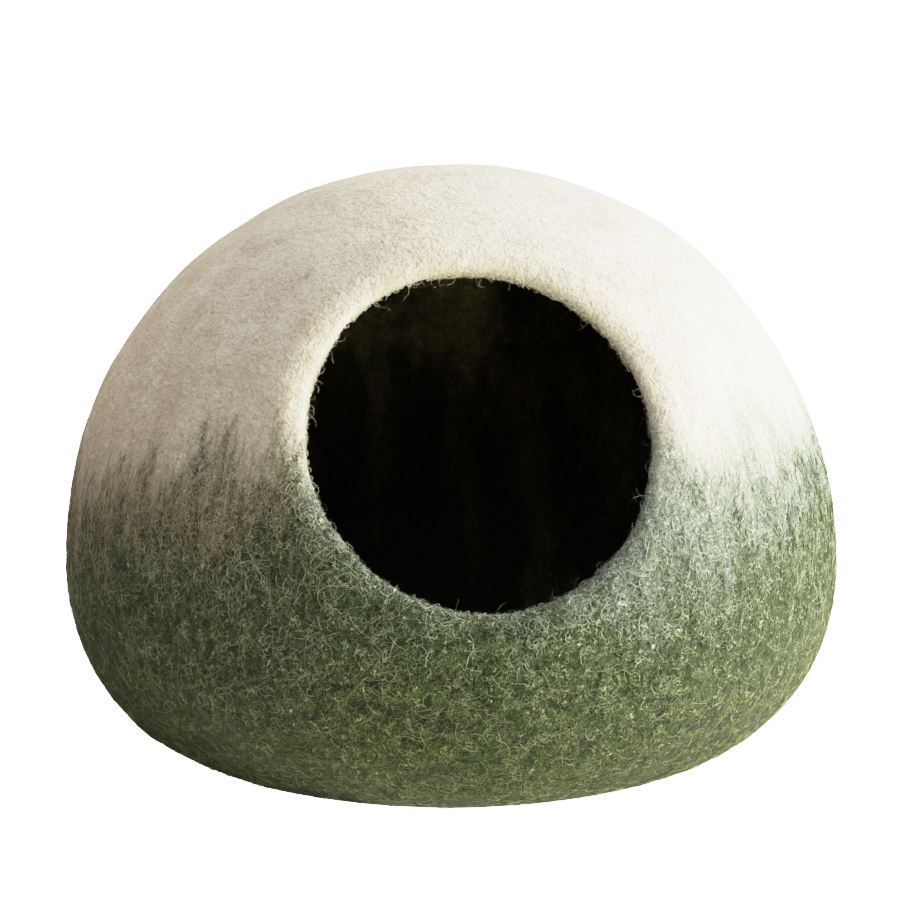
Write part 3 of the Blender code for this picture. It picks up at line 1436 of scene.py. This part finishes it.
    def green(self, graph: Graph, place: Socket, fibres: Socket, fine: Socket, tufts: Socket) -> Socket:
        """The green wool: pale fibres over a dark ground, more yellow low down.

        Args:
            graph: The material's tree.
            place: The place on the object.
            fibres: The fibre pattern.
            fine: The finest noise.
            tufts: Noise as large as a tuft.

        Returns:
            Its colour.
        """
        wool = self.lay_up
        grain = graph.add(
            "ShaderNodeMath", {0: fine, 1: self.fine_in_green, 2: tufts}, operation="MULTIPLY_ADD"
        )
        ground = blend(graph, grain, linear(wool.green_deep), linear(wool.green_dark), *self.ground_range)
        warm = wool.warm_share(graph, place)
        tops = blend(graph, warm, linear(wool.green_pale), linear(wool.green_warm), 0.0, 1.0)
        tops = blend(graph, tufts, linear(wool.green), tops, *self.top_range)
        return blend(graph, fibres, ground, tops, 0.0, 1.0)

    def hump(self, graph: Graph, share: Socket, side: Socket) -> Socket:
        """How strongly single cream fibres stand out: most where the two are mixed evenly, and on the left.

        Args:
            graph: The material's tree.
            share: How much cream wool lies on top.
            side: How far to the right the place is.

        Returns:
            A factor.
        """
        rest = graph.add("ShaderNodeMath", {0: 1.0, 1: share}, operation="SUBTRACT")
        product = graph.add("ShaderNodeMath", {0: share, 1: rest}, operation="MULTIPLY")
        most = graph.add("ShaderNodeMapRange", ramp(side, to=self.thread_most))
        return graph.add("ShaderNodeMath", {0: product, 1: most}, operation="MULTIPLY")

    @staticmethod
    def inside_share(graph: Graph) -> Socket:
        """How far a point is inside the room."""
        return graph.add(
            "ShaderNodeAttribute", out="Fac", attribute_name="inside", attribute_type="GEOMETRY"
        )

    def inside(self, graph: Graph, place: Socket, fibres: Socket) -> Socket:
        """The wool inside the room, in uneven upright patches: dark olive wool, drawn darker still as
        painted shade, with a painted patch of light on the back wall.

        Args:
            graph: The material's tree.
            place: The place on the object.
            fibres: The fibre pattern.

        Returns:
            Its colour.
        """
        wool = self.lay_up
        upright = (1.0, 1.0, self.inside_upright)
        drawn = graph.add("ShaderNodeVectorMath", {0: place, 1: upright}, operation="MULTIPLY")
        patch = graph.add(
            "ShaderNodeTexNoise",
            {"Vector": drawn, "Scale": 1.0 / self.inside_patch, "Detail": 4.0, "Roughness": 0.65},
        )
        # Painted light: one upright patch of the back wall is drawn paler, where light falls into the room
        across = graph.add("ShaderNodeSeparateXYZ", {0: place}, out="X")
        depth = graph.add("ShaderNodeSeparateXYZ", {0: place}, out="Y")
        height = graph.add("ShaderNodeSeparateXYZ", {0: place}, out="Z")
        away = graph.add("ShaderNodeMath", {0: across, 1: self.lit_patch_middle}, operation="SUBTRACT")
        away = graph.add("ShaderNodeMath", {0: away}, operation="ABSOLUTE")
        most = graph.add("ShaderNodeMapRange", ramp(height, self.lit_patch_height, (0.0, self.lit_patch_most)))
        most = graph.add("ShaderNodeMapRange", ramp(depth, self.lit_patch_depth, (0.0, most)))
        pale = graph.add("ShaderNodeMapRange", ramp(away, self.lit_patch_range, (0.0, most)))
        patch = graph.add("ShaderNodeMath", {0: patch, 1: pale}, operation="ADD")
        # The dark colours are partly painted shade of the room, the pale one partly painted light
        dark, light = linear(wool.inside_dark_and_shaded), linear(wool.inside_pale_and_lit)
        tops = blend(graph, patch, dark, light, *self.inside_patch_range)
        return blend(graph, fibres, linear(wool.inside_deep_and_shaded), tops, *self.inside_fibre_range)

    def cream(self, graph: Graph, place: Socket, fine: Socket, tufts: Socket) -> Socket:
        """The cream wool: matted tufts, duller patches, a few specks of straw left from the fleece, and
        painted light high up and to the right.

        Args:
            graph: The material's tree.
            place: The place on the object.
            fine: The finest noise.
            tufts: Noise as large as a tuft.

        Returns:
            Its colour.
        """
        wool = self.lay_up
        patch = graph.add(
            "ShaderNodeTexNoise",
            {"Vector": place, "Scale": 1.0 / self.dull_patch, "Detail": 3.0, "Roughness": 0.6},
        )
        mixed = patch
        for noise_of, weight in ((tufts, self.tufts_in_cream), (fine, self.fine_in_cream)):
            mixed = graph.add(
                "ShaderNodeMath", {0: noise_of, 1: weight, 2: mixed}, operation="MULTIPLY_ADD"
            )
        # Painted light and shade: the cream is drawn paler high up, on the right and on the rim, and duller
        # low on the left
        across = graph.add("ShaderNodeSeparateXYZ", {0: place}, out="X")
        height = graph.add("ShaderNodeSeparateXYZ", {0: place}, out="Z")
        kept = graph.add("ShaderNodeMath", {0: height, 1: 1.0, 2: across}, operation="MULTIPLY_ADD")
        rim = wool.rim_share(graph, place)
        kept = graph.add(
            "ShaderNodeMath", {0: rim, 1: self.clean_lit_on_rim, 2: kept}, operation="MULTIPLY_ADD"
        )
        clean_and_lit = graph.add("ShaderNodeMapRange", ramp(kept, self.clean_lit_range, (0.0, self.clean_lit_most)))
        mixed = graph.add("ShaderNodeMath", {0: clean_and_lit, 1: mixed}, operation="ADD")
        cream = blend(graph, mixed, linear(wool.cream_dull_and_shaded), linear(wool.cream), *self.cream_range)
        fleck = graph.add(
            "ShaderNodeTexNoise",
            {"Vector": place, "Scale": 1.0 / self.fleck, "Detail": 1.0, "Distortion": 1.2},
        )
        # Fewer flecks where the cream is drawn paler as painted light
        fleck = graph.add(
            "ShaderNodeMath", {0: clean_and_lit, 1: -self.clean_lit_of_flecks, 2: fleck}, operation="MULTIPLY_ADD"
        )
        cream = blend(graph, fleck, cream, linear(wool.cream_fleck), *self.fleck_range)
        cells = {"Vector": place, "Scale": 1.0 / self.speck_gap}
        away = graph.add("ShaderNodeTexVoronoi", cells, out="Distance")
        pick = graph.add("ShaderNodeTexVoronoi", cells, out="Color")
        rare = graph.add("ShaderNodeSeparateColor", {0: pick})
        rare = graph.add("ShaderNodeMath", {0: rare, 1: self.speck_rare}, operation="GREATER_THAN")
        dot = graph.add("ShaderNodeMath", {0: away, 1: self.speck_radius}, operation="LESS_THAN")
        dot = graph.add("ShaderNodeMath", {0: dot, 1: rare}, operation="MULTIPLY")
        return blend(graph, dot, cream, linear(wool.speck), *self.speck_range)

    def fibres(self, graph: Graph, place: Socket) -> Socket:
        """Draws crimped fibres as thin level lines of three drawn-out patterns laid over each other.

        Real fibres are 0.03 mm thick. These are drawn as thick as the smallest bundles that the eye can
        tell apart.

        Args:
            graph: The material's tree.
            place: The place on the object.

        Returns:
            1 on a fibre, 0 in a gap.
        """
        crimp = graph.add(
            "ShaderNodeTexNoise",
            {"Vector": place, "Scale": 1.0 / self.crimp_length, "Detail": 1.0},
            out="Color",
        )
        crimp = graph.add("ShaderNodeVectorMath", {0: crimp, 1: (0.5, 0.5, 0.5)}, operation="SUBTRACT")
        both_ways = self.fibre_crimp * 2
        crimp = graph.add("ShaderNodeVectorMath", {0: crimp, "Scale": both_ways}, operation="SCALE")
        crimped = graph.add("ShaderNodeVectorMath", {0: place, 1: crimp}, operation="ADD")
        total = None
        for gap, turn in zip(self.fibre_gaps, self.fibre_turns):
            drawn = graph.add(
                "ShaderNodeMapping",
                {"Vector": crimped, "Rotation": turn, "Scale": (1.0, 1.0, self.fibre_draw)},
                vector_type="TEXTURE",
            )
            pattern = graph.add("ShaderNodeTexNoise", {"Vector": drawn, "Scale": 1.0 / gap, "Detail": 0.0})
            away = graph.add("ShaderNodeMath", {0: pattern, 1: 0.5}, operation="SUBTRACT")
            away = graph.add("ShaderNodeMath", {0: away}, operation="ABSOLUTE")
            line = graph.add(
                "ShaderNodeMapRange",
                ramp(away, (0.0, self.fibre_thickness / gap), (1.0, 0.0)),
                interpolation_type="SMOOTHSTEP",
            )
            clump = graph.add(
                "ShaderNodeTexNoise",
                {"Vector": drawn, "Scale": self.fibre_clump / gap, "Detail": 0.0, "W": 3.0},
                noise_dimensions="4D",
            )
            brighter = ramp(clump, self.fibre_clump_range, (0.0, self.fibre_brightest))
            bright = graph.add("ShaderNodeMapRange", brighter)
            line = graph.add("ShaderNodeMath", {0: line, 1: bright}, operation="MULTIPLY")
            if total is None:
                total = line
            else:
                total = graph.add("ShaderNodeMath", {0: total, 1: line}, operation="MAXIMUM")
        return total

    def bump(
        self,
        graph: Graph,
        fibres: Socket,
        fine: Socket,
        tufts: Socket,
        share: Socket,
    ) -> Socket:
        """Raises fibres and tufts, strongly in the green wool and more faintly in the cream.

        Args:
            graph: The material's tree.
            fibres: The fibre pattern.
            fine: The finest noise.
            tufts: Noise as large as a tuft.
            share: How much cream wool lies on top.

        Returns:
            The bent normal.
        """
        height = graph.add(
            "ShaderNodeMath", {0: fine, 1: self.fine_height, 2: tufts}, operation="MULTIPLY_ADD"
        )
        raised = graph.add(
            "ShaderNodeMath", {0: fibres, 1: self.fibre_height, 2: height}, operation="MULTIPLY_ADD"
        )
        drawn = graph.add("ShaderNodeMix", {0: share, 2: raised, 3: height}, data_type="FLOAT")
        strength = graph.add("ShaderNodeMapRange", ramp(share, to=(1.0, self.cream_bump)))
        return graph.add(
            "ShaderNodeBump", {"Strength": strength, "Distance": self.depth, "Height": drawn}
        )


@dataclass(frozen=True)
class StrandWool:
    """Loose wool that the felting didn't lock in: the same fibres, single, paler and a little glossier."""

    lay_up: WoolLayUp
    roughness: float = 0.85
    specular: float = 0.2
    sheen: float = 0.2
    tone_carried: float = 0.85
    warm_range: Pair = (0.0, 1.2)
    leaf_range: Pair = (0.36, 1.02)
    carried_range: Pair = (0.70, 1.20)
    cream_range: Pair = (0.7, 1.0)

    def make(self) -> Material:
        """Writes the strands' material.

        Returns:
            The material.
        """
        wool = self.lay_up
        material, graph = new_material("loose_wool")
        place = graph.add("ShaderNodeTexCoord", out="Object")
        share = wool.cream_share(graph, place)
        tone = graph.add(
            "ShaderNodeAttribute", out="Fac", attribute_name="tone", attribute_type="GEOMETRY"
        )
        warm = wool.warm_share(graph, place)
        pale, yellow = linear(wool.green_pale), linear(wool.green_warm)
        leaf = blend(graph, warm, pale, yellow, *self.warm_range)
        leaf = blend(graph, tone, linear(wool.green_dark), leaf, *self.leaf_range)
        # The palest strands are cream wool that was carried down into the green
        carried = graph.add(
            "ShaderNodeMath", {0: tone, 1: self.tone_carried, 2: share}, operation="MULTIPLY_ADD"
        )
        colour = blend(graph, carried, leaf, wool.veil(graph, place), *self.carried_range)
        colour = blend(graph, share, colour, linear(wool.cream), *self.cream_range)
        shader = graph.add(
            "ShaderNodeBsdfPrincipled",
            {
                "Base Color": colour,
                "Roughness": self.roughness,
                "Specular IOR Level": self.specular,
                "Sheen Weight": self.sheen,
            },
        )
        graph.add("ShaderNodeOutputMaterial", {"Surface": shader})
        return material


# ---------------------------------------------------------------------------------------------------
# Studio
# ---------------------------------------------------------------------------------------------------


@dataclass(frozen=True)
class Lamp:
    """A soft square light."""

    name: str
    place: Triple
    size: float
    power: float
    colour: Triple

    def hang(self, target: Vector) -> Thing:
        """Hangs the lamp and aims it.

        Args:
            target: What it shines at.

        Returns:
            The lamp.
        """
        light = bpy.data.lights.new(self.name, "AREA")
        light.shape = "SQUARE"
        light.size = self.size
        light.energy = self.power
        light.color = self.colour
        lamp = bpy.data.objects.new(self.name, light)
        lamp.location = self.place
        lamp.rotation_euler = (target - Vector(self.place)).to_track_quat("-Z", "Y").to_euler()
        bpy.context.scene.collection.objects.link(lamp)
        return lamp


@dataclass(frozen=True)
class Studio:
    """A pale floor and surround, the light that the object stands in, and the camera."""

    camera_azimuth: float = math.radians(-4.9)
    camera_elevation: float = math.radians(9.71)
    camera_distance: float = 1.5
    camera_target: Triple = (0.0, 0.0, 0.1832)
    lens: float = 95.58
    floor_half: float = 9.0
    floor_colour: str = "F2F1EF"
    floor_roughness: float = 0.9
    floor_glow: float = 4.6
    shade_colour: tuple[float, float, float, float] = (0.03, 0.03, 0.02, 1.0)
    shade_roughness: float = 0.95
    shade_height: float = -0.0005
    surround_share: float = 0.98
    surround_foot: float = -0.4
    sky: Triple = (1.11, 1.125, 1.21)
    left_side: Triple = (0.30, 0.20, 0.085)
    back_left: Triple = (1.22, 0.97, 0.54)
    right_side: Triple = (0.42, 0.41, 0.38)
    front_side: Triple = (0.115, 0.092, 0.050)
    underneath: Triple = (0.06, 0.055, 0.035)
    left_ground: Triple = (0.07, 0.06, 0.035)
    right_ground: Triple = (7.6, 7.5, 5.8)
    # Where one light gives way to the next, as x, y or z of the way to it
    back_range: Pair = (0.05, 0.55)
    side_range: Pair = (-0.25, 0.7)
    front_range: Pair = (-0.95, -0.45)
    ground_range: Pair = (-0.06, 0.50)
    underneath_range: Pair = (-0.90, -0.50)
    low_range: Pair = (-0.20, 0.06)
    sky_range: Pair = (0.18, 1.0)
    shaded: tuple[Pair, Pair] = ((-0.205, -0.20), (-0.05, 0.20))
    full_white: float = 4.0
    # The light that comes in, and how light it is shown
    print_tones: tuple[Pair, ...] = (
        (0.2, 0.2),
        (0.4, 0.4),
        (0.6, 0.58),
        (0.8, 0.71),
        (1.0, 0.79),
        (1.5, 0.88),
        (2.0, 0.92),
        (3.0, 0.955),
    )
    lamps: tuple[Lamp, ...] = (Lamp("key", (1.86, -0.30, 0.98), 0.9, 69.0, (1.0, 0.965, 0.85)),)
    lamp_target: Triple = (0.0, 0.0, 0.15)

    def build(self) -> None:
        """Sets up the floor, the light and the camera."""
        self.lay_floor()
        self.shade_floor()
        self.raise_surround()
        self.light_room()
        for lamp in self.lamps:
            lamp.hang(Vector(self.lamp_target))
        self.place_camera()
        self.develop()

    def lay_floor(self) -> None:
        """Lays the pale floor."""
        half = self.floor_half
        paint = self.matt(
            "pale_floor", linear(self.floor_colour), self.floor_roughness, self.floor_glow
        )
        floor = self.stand("floor", self.square((-half, -half), (half, half), 0.0), [(0, 1, 2, 3)], paint)
        self.keep_off_object(floor)

    def raise_surround(self) -> None:
        """Stands a white surround behind everything."""
        half = self.floor_half * self.surround_share
        low, high = (-half, -half), (half, half)
        corners = self.square(low, high, self.surround_foot) + self.square(low, high, half)
        faces = [(0, 1, 5, 4), (1, 2, 6, 5), (2, 3, 7, 6), (3, 0, 4, 7), (4, 5, 6, 7), (3, 2, 1, 0)]
        material, graph = new_material("white_surround")
        strength = self.full_white * 1.2  # more than the camera takes as white
        glow = graph.add("ShaderNodeEmission", {"Color": (1.0, 1.0, 1.0, 1.0), "Strength": strength})
        graph.add("ShaderNodeOutputMaterial", {"Surface": glow})
        surround = self.stand("surround", corners, faces, material)
        surround.visible_shadow = False
        self.keep_off_object(surround)

    def shade_floor(self) -> None:
        """Shades the floor under the object's left side; the camera doesn't see it, but the object does."""
        low, high = self.shaded
        paint = self.matt("shaded_floor", self.shade_colour, self.shade_roughness)
        corners = self.square(low, high, self.shade_height)
        shade = self.stand("floor_shade", corners, [(0, 1, 2, 3)], paint)
        shade.visible_camera = False
        shade.visible_glossy = False

    @staticmethod
    def square(low: Pair, high: Pair, height: float) -> list[Triple]:
        """The corners of a level rectangle, anticlockwise from above."""
        outline = ((low[0], low[1]), (high[0], low[1]), (high[0], high[1]), (low[0], high[1]))
        return [(x, y, height) for x, y in outline]

    @staticmethod
    def matt(name: str, colour: tuple[float, ...], roughness: float, glow: float = 0.0) -> Material:
        """Writes a plain matt material.

        Args:
            name: Its name.
            colour: Its colour.
            roughness: How rough it is.
            glow: How strongly it glows white.

        Returns:
            The material.
        """
        material, graph = new_material(name)
        shader = graph.add(
            "ShaderNodeBsdfPrincipled",
            {
                "Base Color": colour,
                "Roughness": roughness,
                "Emission Color": (1.0, 1.0, 1.0, 1.0),
                "Emission Strength": glow,
            },
        )
        graph.add("ShaderNodeOutputMaterial", {"Surface": shader})
        return material

    @staticmethod
    def stand(name: str, corners: list[Triple], faces: list[tuple[int, ...]], paint: Material) -> Thing:
        """Stands one part of the studio.

        Args:
            name: Its name.
            corners: Its corners.
            faces: Its faces, by corner.
            paint: Its material.

        Returns:
            The part.
        """
        mesh = bpy.data.meshes.new(name)
        mesh.from_pydata(corners, [], faces)
        mesh.materials.append(paint)
        return link_object(name, mesh)

    @staticmethod
    def keep_off_object(stand: Thing) -> None:
        """Makes a part of the studio throw no light of its own on the object."""
        stand.visible_diffuse = False
        stand.visible_glossy = False

    def light_room(self) -> None:
        """Lights the room: strongest from low on the right, even overhead, warm and weaker elsewhere."""
        world = bpy.data.worlds.new("room")
        world.use_nodes = True
        world.node_tree.nodes.clear()
        graph = Graph(world.node_tree)
        way = graph.add("ShaderNodeTexCoord", out="Generated")
        rise = graph.add("ShaderNodeSeparateXYZ", {0: way}, out="Z")
        across = graph.add("ShaderNodeSeparateXYZ", {0: way}, out="X")
        depth = graph.add("ShaderNodeSeparateXYZ", {0: way}, out="Y")
        left = blend(graph, depth, (*self.left_side, 1.0), (*self.back_left, 1.0), *self.back_range)
        side = blend(graph, across, left, (*self.right_side, 1.0), *self.side_range)
        side = blend(graph, depth, (*self.front_side, 1.0), side, *self.front_range)
        dim, bright = (*self.left_ground, 1.0), (*self.right_ground, 1.0)
        ground = blend(graph, across, dim, bright, *self.ground_range)
        ground = blend(graph, rise, (*self.underneath, 1.0), ground, *self.underneath_range)
        low = blend(graph, rise, ground, side, *self.low_range)
        light = blend(graph, rise, low, (*self.sky, 1.0), *self.sky_range)
        glow = graph.add("ShaderNodeBackground", {"Color": light})
        graph.add("ShaderNodeOutputWorld", {"Surface": glow})
        bpy.context.scene.world = world

    def place_camera(self) -> None:
        """Stands the camera where the front view is seen from."""
        azimuth = self.camera_azimuth
        rise = self.camera_elevation
        level = math.cos(rise)
        forward = Vector((-math.sin(azimuth) * level, math.cos(azimuth) * level, -math.sin(rise)))
        camera = bpy.data.cameras.new("camera")
        camera.lens = self.lens
        camera.sensor_width = 36.0
        stand = bpy.data.objects.new("camera", camera)
        stand.location = Vector(self.camera_target) - forward * self.camera_distance
        stand.rotation_euler = forward.to_track_quat("-Z", "Y").to_euler()
        bpy.context.scene.collection.objects.link(stand)
        bpy.context.scene.camera = stand

    def develop(self) -> None:
        """Keeps the dark tones as they are and eases the bright ones down, as a photographic print does."""
        settings = bpy.context.scene.view_settings
        settings.view_transform = "Standard"
        settings.use_curve_mapping = True
        curve = settings.curve_mapping
        curve.white_level = (self.full_white,) * 3
        line = curve.curves[3]  # the one for all three colours
        line.points[-1].location = (1.0, 1.0)
        for light, shown in self.print_tones:
            line.points.new(light / self.full_white, shown)
        curve.update()


# ---------------------------------------------------------------------------------------------------
# The whole
# ---------------------------------------------------------------------------------------------------

QUICK_SHARE = 1.0

SORTS = (
    Strands(
        "green_fibres",
        count=int(7300 * QUICK_SHARE),
        length=0.0105,
        length_spread=0.005,
        thickness=0.00025,
        sweeps=(0.4, 0.9, 1.7),
        spin=math.pi * 0.45,
        grain=math.radians(50.0),
        full_high=0.165,
        high=0.200,
        seed=3,
    ),
    Strands(
        "green_curls",
        count=int(7300 * QUICK_SHARE),
        length=0.0095,
        length_spread=0.0045,
        thickness=0.00025,
        sweeps=(1.2, 2.2, 3.6),
        full_high=0.165,
        high=0.200,
        seed=7,
    ),
    Strands(
        "meeting_fibres",
        count=int(7300 * QUICK_SHARE),
        length=0.013,
        length_spread=0.007,
        thickness=0.00028,
        sweeps=(1.0, 2.4, 3.8),
        spin=math.radians(60.0),
        low=0.115,
        full_low=0.160,
        full_high=0.190,
        high=0.215,
        seed=12,
    ),
    Strands(
        "rim_fuzz",
        count=int(3400 * QUICK_SHARE),
        length=0.0030,
        length_spread=0.0016,
        thickness=0.00022,
        sweeps=(2.6, 4.0, 5.2),
        curl_amount=0.0006,
        lie=Lie.STANDING,
        steps=6,
        rim_only=True,
        seed=33,
    ),
    Strands(
        "rim_hairs",
        count=int(120 * QUICK_SHARE),
        length=0.0080,
        length_spread=0.0045,
        thickness=0.00013,
        sweeps=(1.4, 2.8, 4.4),
        curl_amount=0.0022,
        lie=Lie.STANDING,
        steps=9,
        rim_only=True,
        seed=41,
    ),
)


def main() -> None:
    """Builds the shell, its loose wool and the studio."""
    logging.basicConfig(level=logging.INFO, format="%(name)s: %(message)s")
    lay_up = WoolLayUp()
    shell = FeltShell(ShellForm())
    shell.build()
    wool = LooseWool(shell, SORTS)
    for piece in wool.build():
        LOG.info("%s: %d faces", piece.name, len(piece.data.polygons))
    shell.dress(FeltedWool(lay_up).make())
    LOG.info("%s: %d faces", shell.skin.name, len(shell.skin.data.polygons))
    wool.dress(StrandWool(lay_up).make())
    Studio().build()


if __name__ == "__main__":
    main()
